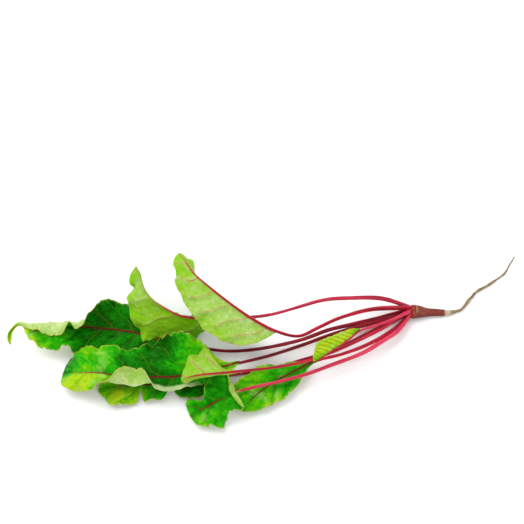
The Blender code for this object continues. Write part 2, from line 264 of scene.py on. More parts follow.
LEAVES = (
    Leaf(
        number=1, seat=(13, RING_RADIUS),
        path=((-31, 9, 13), (-57, 9, 14), (-82, 7, 13), (-124, -5, 11), (-156, -10, 15),
              (-178, -13, 20), (-191, -14, 24), (-199, -13, 27), (-211, -8, 32), (-219, -3, 35),
              (-225, 5, 37), (-229, 16, 38), (-233, 26, 37)),
        neck=4, roll=(150, 150, 145, 130), half_a=(2, 12, 23, 33, 41, 42, 30, 19.5, 14, 11),
        fold_a=(-15, -20, -25, -30, -35),
        half_b=(2, 6, 10, 12, 12, 11, 9, 6, 4, 3), fold_b=(90, 130, 150, 150),
        curl_b=(10, 20, 20, 20), wave=(2.4, 4.3, 0.6), tone=(0.45, 0.5, 0.5), stalk_tone=0.42,
        ruffle=(0.7, 0.05), pale=(0.0, 0.0, 0.15, 0.35, 0.45, 0.35), pink=0.5,
        ribbed=(1, 1, 1, 0.9, 0.3, 0, 0),
    ),
    Leaf(
        number=2, seat=(64, RING_RADIUS),
        path=((-40, -4, 19), (-66, -13, 22), (-85, -23, 23), (-101, -31, 24), (-119, -29, 29),
              (-137, -22, 36), (-154, -12, 42), (-170, 0, 46), (-184, 13, 47), (-192, 26, 45),
              (-198, 37, 40)),
        neck=4, roll=(160, 152, 150), half_a=(2, 17, 25, 28, 28, 25, 22, 16, 11, 7),
        fold_a=(8, 5, 5), curl_a=(5, 15, 20), half_b=(2, 12, 20, 23, 23, 20, 15, 10, 8, 6),
        fold_b=(60, 80, 70, 25), curl_b=(10, 20, 20), wave=(2.2, 4.6, 0.0), tone=(0.5, 0.5, 0.55),
        stalk_tone=0.44, ruffle=(0.45, 0.3), pale=(0.75, 0.72, 0.6, 0.3), red_veins=0.65,
    ),
    Leaf(
        number=3, seat=(321, RING_RADIUS),
        path=((-32, -5, 6), (-57, -12, 7), (-76, -17, 7), (-100, -26, 6), (-132, -33, 5),
              (-160, -35, 5), (-188, -30, 5), (-214, -24, 5), (-234, -19, 5), (-256, -16, 6),
              (-273, -16, 9), (-292, -16, 13), (-308, -17, 15.5), (-319, -17, 16),
              (-328, -14.5, 14), (-334.5, -20, 9), (-335, -28, 2.5)),
        neck=6, roll=(0, -5, -8, -10, -10),
        half_a=(2, 13, 20, 23, 23.5, 24, 24, 20, 18, 15, 5, 2.8, 2.6),
        fold_a=(10, 5, 5, 5, 10, 20, 20, 20), curl_a=(0, 0, 0, 20, 120, 160, 150, 60),
        bend_a=(0.0, 0.4),
        half_b=(2, 7, 12, 16, 19, 21.5, 23.5, 25, 26, 26, 26, 25.5, 25, 24, 23, 22, 21.5, 21, 20,
                15, 4, 2.8, 2.8, 2.8, 2.6),
        fold_b=(0, -5, -5, -5, 0), curl_b=(0, 0, 0, 0, 10), wave=(2.0, 5.5, 0.3),
        tone=(0.15, 0.12, 0.12, 0.2, 0.3, 0.6, 1.25), stalk_tone=0.26, ruffle=(1.2, 1.0),
        pale=(0.85, 0.85, 0.85, 0.85, 0.85, 0.3),
        tone_b=(0.12, 0.08, 0.08, 0.15, 0.2, 0.32, 0.5, 0.75, 1.1, 1.25),
    ),
    Leaf(
        number=4, seat=(240, CORE_RADIUS),
        path=((-32, -9, 8), (-57, -17, 10), (-76, -24, 11), (-100, -34, 12), (-124, -43, 13),
              (-148, -50, 14), (-171, -57, 15), (-197, -63, 16), (-219, -64, 17), (-243, -63, 17),
              (-260, -60, 16), (-279, -58, 12), (-290, -57, 5)),
        neck=5, roll=(-5, -12, -12, -5), half_a=(3, 5, 24, 36, 37, 32, 26, 22, 25, 22, 20, 15),
        fold_a=(15, 10, 5, 5), curl_a=(0, 0, 0, 10),
        half_b=(3, 7, 9, 10, 11, 13, 25, 25, 17, 16, 14.5, 11), fold_b=(-12, -18, -6, -10, -10),
        curl_b=(0, 0, 0, 0, 0, 40, 165, 165, 60, 0, 0, 0), bend_b=(0.25, 0.55),
        wave=(2.6, 4.4, 1.2), tone=(0.7, 0.8, 0.6, 0.2, 0.1, 0.3, 0.55, 0.72, 0.35),
        stalk_tone=0.31, ruffle=(1.0, 0.45), pale=(0.75, 0.75),
        tone_b=(0.7, 0.6, 0.4, 0.2, 0.15, 0.3, 0.6, 0.9, 1.0, 0.75), pale_lip=(0.26, 0.5, 0.4),
        red_veins=0.35,
    ),
    Leaf(
        number=5, seat=(116, RING_RADIUS),
        path=((-24, -12, 16), (-37, -19, 20), (-51.5, -26, 23.5), (-60, -34, 25),
              (-68, -40.5, 26), (-76, -46, 26), (-84, -51.5, 26), (-89.5, -54, 25.5)),
        neck=2, roll=(-25, -30, -30), half_a=(1.5, 6, 8, 9.5, 11, 12, 9, 3), fold_a=(10, 0, 0),
        curl_a=(0, 10, 15), half_b=(1, 0.5, 0.4, 0.4, 0.4, 0.4, 0.4), fold_b=(-60, -60, -60),
        wave=(0.8, 3, 0.0), tone=(0.9, 1.05, 1.05, 0.9), stalk_tone=0.62,
        ruffle=(0.5, 0.1), stoutness=0.75, vein_share=0.36, pink=0.8,
        red_veins=0.9,
    ),
    Leaf(
        number=6, seat=(60, CORE_RADIUS),
        path=((-32, -19, 15), (-57, -34, 18), (-74, -43, 20), (-96, -53, 23), (-124, -60, 26),
              (-147, -64, 29), (-157, -66, 31), (-173, -68, 32), (-183, -69, 31), (-189, -70, 29),
              (-193.5, -71, 26.5)),
        neck=5, roll=(160, 155, 150), half_a=(2, 2, 2, 2.5, 3, 4, 3), fold_a=(60, 60, 40),
        curl_a=(10, 10, 10), half_b=(2, 2, 3, 6, 13, 21, 25, 24, 18, 11, 3), fold_b=(10, 5, 10),
        curl_b=(0, 10, 20), wave=(1.4, 2.5, 0.0), tone=(0.4, 0.4, 0.4), stalk_tone=0.5,
        ruffle=(0.5, 0.9), stoutness=0.85, pink=0.1, red_veins=0.8,
    ),
    Leaf(
        number=7, seat=(219, RING_RADIUS),
        path=((-22, -16, 6), (-44, -30, 7), (-66, -39, 7), (-84, -44, 7), (-98, -51, 7),
              (-112, -59, 7), (-126, -68, 7), (-138, -78, 6), (-147, -87, 4)),
        neck=3, roll=(0, -5, 0), half_a=(2, 3.5, 6.5, 11, 15.5, 18.5, 19, 17, 9),
        fold_a=(15, 5, 10), half_b=(2, 3, 8, 12.5, 15, 15.5, 13.5, 10, 4),
        fold_b=(5, -8, -5), curl_b=(0, -5, 0), wave=(1.6, 3.4, 0.0), tone=(0.3, 0.45, 0.65, 0.75),
        stalk_tone=0.55, ruffle=(0.7, 0.7),
    ),
    Leaf(
        number=8, seat=(167, RING_RADIUS),
        path=((-19, -18, 9), (-32, -29, 12), (-49, -41, 14), (-74, -52, 15), (-94, -60, 15),
              (-114, -66, 15), (-134, -70, 13), (-145, -73, 13), (-154.5, -77, 13),
              (-165, -82, 11.5), (-177, -88, 8), (-186, -93, 4)),
        neck=7, roll=(0, -10, -10), half_a=(2, 14, 19, 22, 21, 19.5, 17, 12, 6.5, 8, 12, 12.5, 8),
        fold_a=(8, 12, 10, 0), curl_a=(0, 0, 10),
        half_b=(2, 17, 18, 15, 12, 13, 18, 21, 19, 15, 13, 10.5, 7), fold_b=(10, -5, -5),
        curl_b=(0, -15, 0), wave=(2.4, 3.6, 0.0), tone=(0.35, 0.35, 0.4, 0.6, 0.65),
        stalk_tone=0.66, ruffle=(1.0, 1.0), pale=(0.65, 0.65), roll_back=(8.0, 4.5, 168),
        ribbed=(0, 0, 0.1, 0.8, 1, 0.5, 0.2), pink=0.75,
    ),
    Leaf(
        number=9, seat=(270, RING_RADIUS),
        path=((-33, -12, 2), (-57, -25, 2), (-75, -34, 2), (-99, -42, 2), (-124, -50, 2),
              (-148, -54, 2), (-160, -56, 2), (-171, -59, 3), (-184, -62, 4), (-208, -65, 4),
              (-232, -65, 4), (-253, -67, 4), (-261, -69.5, 3)),
        neck=7, roll=(0, 0, 0), half_a=(2, 7, 9, 9, 9, 9, 9, 9, 8, 6, 3), fold_a=(5, 5, 5),
        half_b=(2, 15, 13.5, 12, 12, 13, 14.5, 16, 16.5, 16, 6),
        fold_b=(0, -5, 0), wave=(1.2, 3, 0.5),
        tone=(0.1, 0.12, 0.2, 0.3, 0.65, 0.8, 0.85, 0.8), stalk_tone=0.45, ruffle=(0.5, 0.5),
        stoutness=0.8, notches=((-1, 0.36, 0.75, 0.045), (-1, 0.615, 0.8, 0.02)),
        vein_share=1.25,
    ),
)


def smooth(given, steps):
    """The curve through the given rows of numbers, with this many steps between each two."""
    given = np.array(given, float)
    ends = np.vstack([2 * given[0] - given[1], given, 2 * given[-1] - given[-2]])
    t = (np.arange(steps) / steps)[:, None]
    parts = []
    for before, start, stop, after in zip(ends, ends[1:], ends[2:], ends[3:]):
        parts.append(
            0.5 * (2 * start + (stop - before) * t
                   + (2 * before - 5 * start + 4 * stop - after) * t**2
                   + (3 * start - before - 3 * stop + after) * t**3)
        )
    return np.vstack([*parts, given[-1]])


def smooth_path(points, spacing):
    """Points at even steps along a smooth curve through these, and how far along each is."""
    line = smooth(points, CURVE_STEPS)
    lengths = np.concatenate([[0], np.cumsum(np.linalg.norm(np.diff(line, axis=0), axis=1))])
    count = max(2, round(lengths[-1] / spacing) + 1)
    wanted = np.linspace(0, lengths[-1], count)
    even = np.stack([np.interp(wanted, lengths, line[:, k]) for k in range(3)], axis=1)
    return even, wanted


def stalk_line(leaf, spacing):
    """The leaf's centre line, how far along each point is, and how far along the blade starts."""
    angle, radius = math.radians(leaf.seat[0]), leaf.seat[1]
    seat = (
        CROWN_FACE_X - STALK_GAP,
        ROOT_AXIS[0][1] + radius * math.cos(angle),
        CROWN_HEIGHT + radius * math.sin(angle),
    )
    straight = (seat[0] - STRAIGHT_START, seat[1], seat[2])
    points, distance = smooth_path((seat, straight, *leaf.path), spacing)
    neck = np.array(leaf.path[leaf.neck])
    start = distance[np.argmin(np.linalg.norm(points - neck, axis=1))]
    return points, distance, start


def stalk_radius(leaf, distance, neck, length):
    """Radius of the stalk, and past the neck of the rib, at a distance from the crown."""
    base = CORE_BASE_RADIUS if leaf.seat[1] == CORE_RADIUS else RING_BASE_RADIUS
    places = (0, FULL_FROM * neck, neck, length)
    later = (STALK_FULL_RADIUS, STALK_NECK_RADIUS, RIB_TIP_RADIUS)
    return np.interp(distance, places, (base, *(radius * leaf.stoutness for radius in later)))


def along(values, u):
    """A value given at even steps from the neck to the tip, read smoothly at u."""
    line = smooth(np.array(values, float)[:, None], LIST_STEPS)[:, 0]
    return np.interp(u, np.linspace(0, 1, len(line)), line)


def frames(points, turns):
    """Tangents, and normals carried along without twist and then turned by the given degrees."""
    tangents = np.gradient(points, axis=0)
    tangents /= np.linalg.norm(tangents, axis=1)[:, None]
    normal = Vector((0, 0, 1))
    normals = []
    for tangent, turn in zip(tangents, turns):
        tangent = Vector(tangent)
        normal = (normal - normal.dot(tangent) * tangent).normalized()
        normals.append(Matrix.Rotation(math.radians(turn), 3, tangent) @ normal)
    return tangents, np.array(normals, float)


def waves(distance, parts, phase):
    """Uneven waves along a distance: parts gives each wave's length and height."""
    total = 0
    for place, (length, height) in enumerate(parts):
        turn = 2 * math.pi * distance / length + phase * (WAVE_PHASE + place) + WAVE_START * place
        total = total + height * np.sin(turn + UNEVENNESS * np.sin(UNEVEN_PACE * turn + phase))
    return total


def ease(value, low, high):
    """0 below low, 1 above high, and a smooth step between."""
    share = np.clip((value - low) / (high - low), 0, 1)
    return share * share * (3 - 2 * share)


def across_row(values, count):
    """A value for each row, repeated for every point of the row."""
    return np.repeat(values[:, None], count, axis=1)


def cells(x, y, size, seed):
    """How much nearer the nearest of a field of jittered points is than the next, in sizes."""
    x, y = x / size, y / size
    ix, iy = np.floor(x), np.floor(y)
    first = np.full(x.shape, FAR)
    second = np.full(x.shape, FAR)
    for dx in (-1, 0, 1):
        for dy in (-1, 0, 1):
            cx, cy = ix + dx, iy + dy
            jx, jy = (
                np.modf(np.abs(np.sin(cx * a + cy * b + seed) * HASH_SCALE))[0] for a, b in HASHES
            )
            far = np.hypot(cx + JITTER_FROM + JITTER * jx - x, cy + JITTER_FROM + JITTER * jy - y)
            second = np.minimum(second, np.maximum(first, far))
            first = np.minimum(first, far)
    return second - first


def scallops(distance, length, phase):
    """Rounded lobes one after another: 1 at each crest and 0 at the notches between them."""
    drift = LOBE_DRIFT * np.sin(distance / (LOBE_DRIFT_LENGTH * length) + 3 * phase)
    return np.abs(np.sin(math.pi * (distance / length + phase + drift))) ** LOBE_ROUNDNESS


def vein_spacing(leaf):
    """Millimetres from one side vein to the next along the rib, more on a wider leaf."""
    return leaf.vein_share * max(*leaf.half_a, *leaf.half_b)


def vein_phase(s, w, side, leaf):
    """A whole number on each side vein, growing to the tip; s is along the rib, w out from it."""
    slant = w / math.tan(math.radians(VEIN_ANGLE)) + VEIN_ARCH * w * w
    slow, out, quick = WANDER_LENGTHS
    wander = (
        VEIN_WANDER[0] * np.sin(s / slow + leaf.number + side)
        + VEIN_WANDER[1] * np.sin(w / out + s / quick + 2.0 * leaf.number)
    )
    shift = SIDE_B_VEIN_SHIFT if side < 0 else 0
    steps = (s - slant) / vein_spacing(leaf)
    return steps + wander * ease(w, 0, WANDER_FULL_FROM) + shift + LEAF_VEIN_SHIFT * leaf.number


def vein_distance(phase, reach, spacing):
    """Millimetres to the nearest side vein, which forks in two on its way to the margin."""
    part = phase - np.round(phase)
    fork = FORK * ease(reach, FORK_FROM, 1.0)
    return np.abs(np.abs(part) - fork) * spacing * math.sin(math.radians(VEIN_ANGLE))


def turned_over(leaf, s):
    """Each row's move along the rib and up from it, and its turn, where the base is turned over."""
    reach, bend, turn = leaf.roll_back
    inward = np.linspace(0, reach, TURN_STEPS)
    angle = math.radians(turn) * np.minimum(1, inward / bend)
    step = inward[1]
    back = np.concatenate([[0], np.cumsum(np.cos(angle[1:]) * step)])
    rise = np.concatenate([[0], np.cumsum(np.sin(angle[1:]) * step)])
    wanted = (reach - s).clip(0)
    tables = (np.interp(wanted, inward, table)[:, None, None] for table in (back, rise, angle))
    back, rise, angle = tables
    return wanted[:, None, None] - back, rise, angle


def margin_cut(leaf, u, s, side, ruffle, phase):
    """The share of the half width that lobes, notches and the rounded tip leave at each row."""
    lobes = sum(depth * (1 - scallops(s, length, phase)) for length, depth in LOBES)
    lobes = min(1, ruffle + LEAST_LOBES) * lobes
    cut = 1 + LOBE_REACH - lobes * ease(u, *LOBES_START)
    for notch_side, where, depth, width in leaf.notches:
        if notch_side == side:
            cut = cut * (1 - depth * np.exp(-(((u - where) / width) ** 2)))
    past = ((u - TIP_ROUNDING) / (1 - TIP_ROUNDING)).clip(0)
    return cut * np.sqrt(np.clip(1 - past**2, TIP_LEAST, 1))


def running_sum(table, step):
    """The sum of each row's values from its start, by steps of this length."""
    total = np.zeros(table.shape)
    total[:, 1:] = np.cumsum((table[:, 1:] + table[:, :-1]) / 2 * step, axis=1)
    return total


def relief(leaf, side, s, w, reach, half, veins):
    """Height of panels, bulges, small bulges and sunk veins, and the painted light and shade on
    them: lighter on the bulges, darker between.
    """
    spacing = vein_spacing(leaf)
    panel = np.sin(math.pi * (veins - np.floor(veins))) ** PANEL_POWER
    first, out, second = DRIFT_LENGTHS
    drift = np.sin(s / first + leaf.number) * np.sin(w / out + s / second + side)
    bulge = cells(veins * spacing, w * side, BULGE_SIZE, BULGE_SEED * leaf.number)
    small = cells(s, w * side, BULGE_SIZE * SMALL_SIZE, SMALL_SEED * leaf.number + SMALL_SEED_FROM)
    bulge, small = (ease(gap, 0.0, CELL_EDGE) for gap in (bulge, small))
    gap = vein_distance(veins, reach, spacing)
    groove = VEIN_DEPTH * np.exp(-((gap / VEIN_WIDTH) ** 2)) * (1 - GROOVE_FADE * reach)
    crowding = min(1, spacing / FULL_RELIEF_SPACING)
    room = np.minimum(1, half / FULL_RELIEF_HALF_WIDTH)[:, None]
    calm = ease(w, *RIB_CALM) * (1 - MARGIN_CALM * ease(reach, MARGIN_CALM_FROM, 1.0)) * room
    height = panel * (PANEL_HEIGHT + DRIFT_HEIGHT * drift) + bulge * BULGE_HEIGHT
    height = (height + small * SMALL_HEIGHT - groove) * (calm * crowding)
    # Painted light and shade: lighter on the panels and bulges, darker between them
    by_panel, by_bulge, by_small = BULGE_SHADING_BY
    bulge_shading = by_panel * panel * crowding + by_bulge * bulge + by_small * small
    return height, bulge_shading * ease(w, *BULGE_SHADING_START)


def side_places(leaf, rib, u, s, side):
    """The middle surface of one side of a blade, in rows from the rib out, and its looks."""
    if side > 0:
        half, fold, curl, bend = leaf.half_a, leaf.fold_a, leaf.curl_a, leaf.bend_a
    else:
        half, fold, curl, bend = leaf.half_b, leaf.fold_b, leaf.curl_b, leaf.bend_b
    ruffle = leaf.ruffle[0 if side > 0 else 1]
    columns = max(LEAST_COLUMNS, round(max(half) / GRID))
    reach = np.linspace(0, 1, columns + 1)
    fine = np.linspace(0, 1, columns * SECTION_STEPS + 1)
    half = along((NECK_HALF_WIDTH, *half[1:]), u)
    fold = along(fold, u)
    curl = along(curl, u)
    phase = leaf.number * PHASE_PER_LEAF + side
    cut = margin_cut(leaf, u, s, side, ruffle, phase)
    plain = fine[None, :] * cut[:, None]
    share = np.clip((plain - bend[0]) / (bend[1] - bend[0]), 0, 1)
    wavy = np.minimum(1, half / FULL_WAVE_HALF_WIDTH)
    lip = waves(s, LIP_WAVES, phase) * LIP_ANGLE * ruffle * wavy
    angle = fold[:, None] + curl[:, None] * share + lip[:, None] * ease(plain, LIP_FROM, 1.0)
    angle = np.radians(angle)
    half = half * cut
    step = 1 / (columns * SECTION_STEPS)
    sections = (running_sum(np.cos(angle), step), running_sum(np.sin(angle), step), angle, plain)
    out, up, angle, plain = (table[:, ::SECTION_STEPS] for table in sections)

    height, count, start = leaf.wave
    turn = 2 * math.pi * count * u + start + WAVE_SIDE_SHIFT * side
    swell = np.sin(turn) + SECOND_WAVE * np.sin(SECOND_WAVE_PACE * turn + 1)
    swell = swell * height * np.minimum(1, half / FULL_WAVE_HALF_WIDTH)
    swell = swell[:, None] * ((reach - WAVE_FROM).clip(0) / (1 - WAVE_FROM)) ** 2

    w = half[:, None] * reach[None, :]
    along_rib = across_row(s, len(reach))
    everywhere = np.tile(reach, (len(s), 1))
    veins = vein_phase(along_rib, w, side, leaf)
    raised, bulge_shading = relief(leaf, side, along_rib, w, everywhere, half, veins)

    centre, tangent, normal, radius = rib
    across = np.cross(tangent, normal) * side
    place = (
        centre[:, None, :]
        + (normal * (radius * RIB_SINK)[:, None])[:, None, :]
        + across[:, None, :] * (out * half[:, None])[:, :, None]
        + normal[:, None, :] * (up * half[:, None])[:, :, None]
    )
    lift = (
        normal[:, None, :] * np.cos(angle)[:, :, None]
        - across[:, None, :] * np.sin(angle)[:, :, None]
    )
    place = place + lift * (swell + raised)[:, :, None]
    if leaf.roll_back:
        back, rise, turned = turned_over(leaf, s)
        place = place + tangent[:, None, :] * back + normal[:, None, :] * rise
        lift = lift * np.cos(turned) + tangent[:, None, :] * np.sin(turned)
    above = place[:, :, 2] - THICKNESS
    place[:, :, 2] = THICKNESS + (above + np.sqrt(above**2 + TABLE_EASE**2)) / 2

    flat = np.stack([along_rib, w * side, np.full(w.shape, FLAT_STEP * leaf.number)], axis=2)
    vein = np.stack([veins, everywhere, np.full(w.shape, vein_spacing(leaf))], axis=2)
    crease = np.exp(-(((plain - (bend[0] + bend[1]) / 2) / CREASE_WIDTH) ** 2))
    crease = crease * ease(np.abs(curl), *CREASE_CURL)[:, None]
    if leaf.pale_lip and side < 0:
        start, stop, width = leaf.pale_lip
        rows = ease(u, start - PALE_LIP_END, start + PALE_LIP_END)
        rows = rows * (1 - ease(u, stop - PALE_LIP_END, stop + PALE_LIP_END))
        pale_lip = rows[:, None] * ease(everywhere, 1 - width, 1 - width / 2)
        crease = np.maximum(crease, pale_lip)
    return place, lift, flat, vein, bulge_shading[:, :, None], crease[:, :, None]


def rib_rows(leaf):
    """The rib at even rows from neck to tip, each row's share u and its distance s.

    The rib is its centres, tangents, normals and radii.
    """
    points, distance, neck = stalk_line(leaf, 1.0)
    share = np.clip((distance - neck) / (distance[-1] - neck), 0, 1)
    tangents, normals = frames(points, along(leaf.roll, share))
    radius = stalk_radius(leaf, distance, neck, distance[-1])
    length = distance[-1] - neck
    rows = round(length / GRID) + 1
    wanted = np.linspace(neck, distance[-1], rows)

    def at_rows(table):
        return np.stack([np.interp(wanted, distance, column) for column in table.T], axis=1)

    rib = (*map(at_rows, (points, tangents, normals)), np.interp(wanted, distance, radius))
    return rib, (wanted - neck) / length, wanted - neck


def new_object(name, data):
    """An object of its own in the scene."""
    obj = bpy.data.objects.new(name, data)
    bpy.context.scene.collection.objects.link(obj)
    return obj


def new_mesh(name, points, faces, material, attributes):
    """A smooth mesh object from points in millimetres, with a number or vector for each point."""
    mesh = bpy.data.meshes.new(name)
    mesh.from_pydata((np.asarray(points) * MM).tolist(), [], faces)
    for title, values in attributes.items():
        values = np.asarray(values, np.float32).ravel()
        single = len(values) == len(points)
        kind, field = ("FLOAT", "value") if single else ("FLOAT_VECTOR", "vector")
        mesh.attributes.new(title, kind, "POINT").data.foreach_set(field, values)
    mesh.shade_smooth()
    mesh.materials.append(material)
    return new_object(name, mesh)


def make_blade(leaf, material):
    """The blade as a thin closed sheet: an upper face, an underside and the margin's wall."""
    rib, u, s = rib_rows(leaf)
    side_a = side_places(leaf, rib, u, s, 1)
    side_b = side_places(leaf, rib, u, s, -1)
    tables = (np.concatenate([b[:, :0:-1], a], axis=1) for a, b in zip(side_a, side_b))
    place, lift, flat, vein, relief_shading, crease = tables
    rows, columns = place.shape[:2]
    normal = np.cross(np.gradient(place, axis=0), np.gradient(place, axis=1))
    length = np.linalg.norm(normal, axis=2)[:, :, None]
    normal = np.where(length > SHORTEST, normal / np.maximum(length, SHORTEST), lift)
    normal = np.where((normal * lift).sum(axis=2)[:, :, None] < 0, -normal, normal)
    upper = place + normal * THICKNESS / 2
    under = place - normal * THICKNESS / 2

    index = np.arange(rows * columns).reshape(rows, columns)
    a, b, c, d = index[:-1, :-1], index[1:, :-1], index[1:, 1:], index[:-1, 1:]
    top = np.stack([a, b, c, d], axis=2).reshape(-1, 4)
    bottom = top[:, ::-1] + rows * columns
    loop = np.concatenate([index[:-1, 0], index[-1, :-1], index[:0:-1, -1], index[0, :0:-1]])
    after = np.roll(loop, -1)
    wall = np.stack([loop, loop + rows * columns, after + rows * columns, after], axis=1)
    faces = np.concatenate([top, bottom, wall])
    quad = faces[0]
    points = np.concatenate([upper.reshape(-1, 3), under.reshape(-1, 3)])
    out = np.cross(points[quad[1]] - points[quad[0]], points[quad[2]] - points[quad[0]])
    if out @ lift.reshape(-1, 3)[quad[0]] < 0:
        faces = faces[:, ::-1]

    edge = np.zeros((rows, columns))
    edge[:, 0] = edge[:, -1] = edge[-1] = 1
    edge[:, 1] = edge[:, -2] = SECOND_EDGE
    tone = across_row(along(leaf.tone, u), columns)
    if leaf.tone_b:
        tone[:, :side_b[0].shape[1]] = along(leaf.tone_b, u)[:, None]
    pale = across_row(along(leaf.pale, u), columns)
    ribbed = across_row(along(leaf.ribbed, u) * (1 - ease(u, RIB_FADE, 1)), columns)
    half_rib = across_row(rib[-1], columns)

    def both(table):
        return np.concatenate([table.reshape(rows * columns, -1)] * 2)

    sheet = np.stack([np.zeros(rows * columns), edge.ravel(), half_rib.ravel()], axis=1)
    lower = sheet + (1, 0, 0)
    obj = new_mesh(f"blade_{leaf.number}", points, faces.tolist(), material, {
        "flat": both(flat),
        "veins": both(vein),
        "sheet": np.concatenate([sheet, lower]),
        "tone": both(tone),
        "relief_shading": both(relief_shading),
        "crease": both(crease),
        "pale": both(pale),
        "ribbed": both(ribbed),
        "red": np.full(2 * rows * columns, leaf.red_veins),
    })
    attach(obj, "root")
    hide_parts(f"leaf_blade_{leaf.number}")


def rings(centres, tangents, normals, radii, shape, sides):
    """Points of a tube ring by ring; shape gives the share of the radius at each ring and angle."""
    angle = np.arange(sides) / sides * 2 * math.pi
    across = np.cross(tangents, normals)
    size = radii[:, None] * shape
    return (
        centres[:, None, :]
        + across[:, None, :] * (np.cos(angle) * size)[:, :, None]
        + normals[:, None, :] * (np.sin(angle) * size)[:, :, None]
    )


def ripple(angle, height, count, start):
    """This many even bumps round a tube."""
    return height * np.cos(count * angle + start)


def tube_faces(count, sides):
    """Quads of a tube of rings, with a face at each end."""
    index = np.arange(count * sides).reshape(count, sides)
    after = np.roll(index, -1, axis=1)
    quads = np.stack([index[:-1], after[:-1], after[1:], index[1:]], axis=2).reshape(-1, 4)
    return [*quads.tolist(), index[0, ::-1].tolist(), index[-1].tolist()]


def make_stalk(leaf, material):
    """The stalk and the rib as one grooved, ribbed tube that thickens where it leaves the crown."""
    points, distance, neck = stalk_line(leaf, STALK_STEP)
    share = np.clip((distance - neck) / (distance[-1] - neck), 0, 1)
    turns = along(leaf.roll, share) * ease(distance, ROLL_FROM * neck, neck)
    tangents, normals = frames(points, turns)
    thicker = 1 + COLLAR * np.exp(-distance / COLLAR_LENGTH)
    slimmer = 1 - RIB_SLIMMING * ease(share, RIB_SLIM_FROM, 1)
    radii = stalk_radius(leaf, distance, neck, distance[-1]) * thicker * slimmer
    points[0] += (STALK_SUNK, 0, 0)
    angle = np.arange(STALK_SIDES) / STALK_SIDES * 2 * math.pi
    up = np.angle(np.exp(1j * (angle - math.pi / 2)))
    grooved = ease(distance, *GROOVE_START)
    grooved = grooved * (1 - ease(distance, neck + GROOVE_END[0], neck + GROOVE_END[1]))
    groove = GROOVE_DEPTH * np.exp(-((up / GROOVE_WIDTH) ** 2))
    shape = 1 - grooved[:, None] * groove + ripple(angle, *STALK_RIBS, leaf.number)
    uneven = 1 + STALK_WAVE_HEIGHT * waves(distance, STALK_WAVES, leaf.number)
    ring = rings(points, tangents, normals, radii, shape * uneven[:, None], STALK_SIDES)
    ring[:, :, 2] = np.maximum(ring[:, :, 2], 0.0)
    count = len(points)
    stripe = np.stack([
        across_row(distance, STALK_SIDES),
        np.tile(np.cos(angle) * STRIPE_RADIUS, (count, 1)) + STRIPE_STEP * leaf.number,
        np.tile(np.sin(angle) * STRIPE_RADIUS, (count, 1)),
    ], axis=2)
    shown = along(leaf.ribbed, share) * (1 - ease(share, RIB_FADE, 1))
    fade = (1 - shown) * ease(distance, neck, neck + FADE_LENGTH)
    rib = ease(distance, neck + RIB_LOOKS[0], neck + RIB_LOOKS[1])
    faces = tube_faces(count, STALK_SIDES)
    obj = new_mesh(f"stalk_{leaf.number}", ring.reshape(-1, 3), faces, material, {
        "stripe": stripe,
        "rib": across_row(rib, STALK_SIDES),
        "fade": across_row(fade, STALK_SIDES),
        "tone": np.full(count * STALK_SIDES, leaf.stalk_tone),
        "pink": np.full(count * STALK_SIDES, leaf.pink),
    })
    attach(obj, "root")
    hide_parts(f"leaf_stalk_{leaf.number}")


def root_line(step):
    """The root's centre line at even steps, how far along each point is, and the radius there."""
    given = np.array(ROOT_AXIS)
    line, distance = smooth_path(given[:, :3], step)
    near = [distance[np.argmin(np.linalg.norm(line - p, axis=1))] for p in given[:, :3]]
    return line, distance, np.interp(distance, near, given[:, 3])


def make_root(material):
    """The crown and tap root: rings and ridges in the skin, a domed end, a flat to rest on."""
    line, distance, radii = root_line(ROOT_STEP)
    tangents, normals = frames(line, np.zeros(len(line)))
    angle = np.arange(ROOT_SIDES) / ROOT_SIDES * 2 * math.pi
    crown = 1 - ease(distance, *ROOT_CROWN_END)
    body = 1 - ease(distance, *ROOT_BODY_END)
    shape = 1 + np.outer(body, sum(ripple(angle, *ridge) for ridge in ROOT_RIDGES))
    wrinkle = waves(distance, WRINKLES, WRINKLE_PHASE)
    shape = shape + WRINKLE_HEIGHT * np.outer(wrinkle, 1 + ripple(angle, *WRINKLE_ROUND))
    scars = np.sin(SCAR_COUNT * angle + SCAR_START)
    scars = np.outer(np.sin(2 * math.pi * distance / SCAR_SPACING), scars)
    shape = shape + SCAR_HEIGHT * crown[:, None] * scars
    knots = waves(distance, KNOTS, KNOT_PHASE) * (1 - body)
    shape = shape + np.outer(knots, 1 + ripple(angle, *KNOT_ROUND))
    dome = np.array(DOME_SHARES)
    back = np.array(DOME_BACK)

    def capped(table):
        return np.vstack([np.repeat(table[:1], len(dome), axis=0), table])

    line = capped(line)
    line[:len(dome), 0] -= back
    radii = np.concatenate([dome * radii[0], radii])
    distance = np.concatenate([-back, distance])
    ring = rings(line, capped(tangents), capped(normals), radii, capped(shape), ROOT_SIDES)
    ring[:, :, 2] = np.maximum(ring[:, :, 2], 0.0)
    stripe = np.stack([
        across_row(distance, ROOT_SIDES),
        radii[:, None] * np.cos(angle),
        radii[:, None] * np.sin(angle),
    ], axis=2)
    faces = tube_faces(len(line), ROOT_SIDES)
    obj = new_mesh("root_skin", ring.reshape(-1, 3), faces, material, {"stripe": stripe})
    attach(obj, "root")
    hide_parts("root")


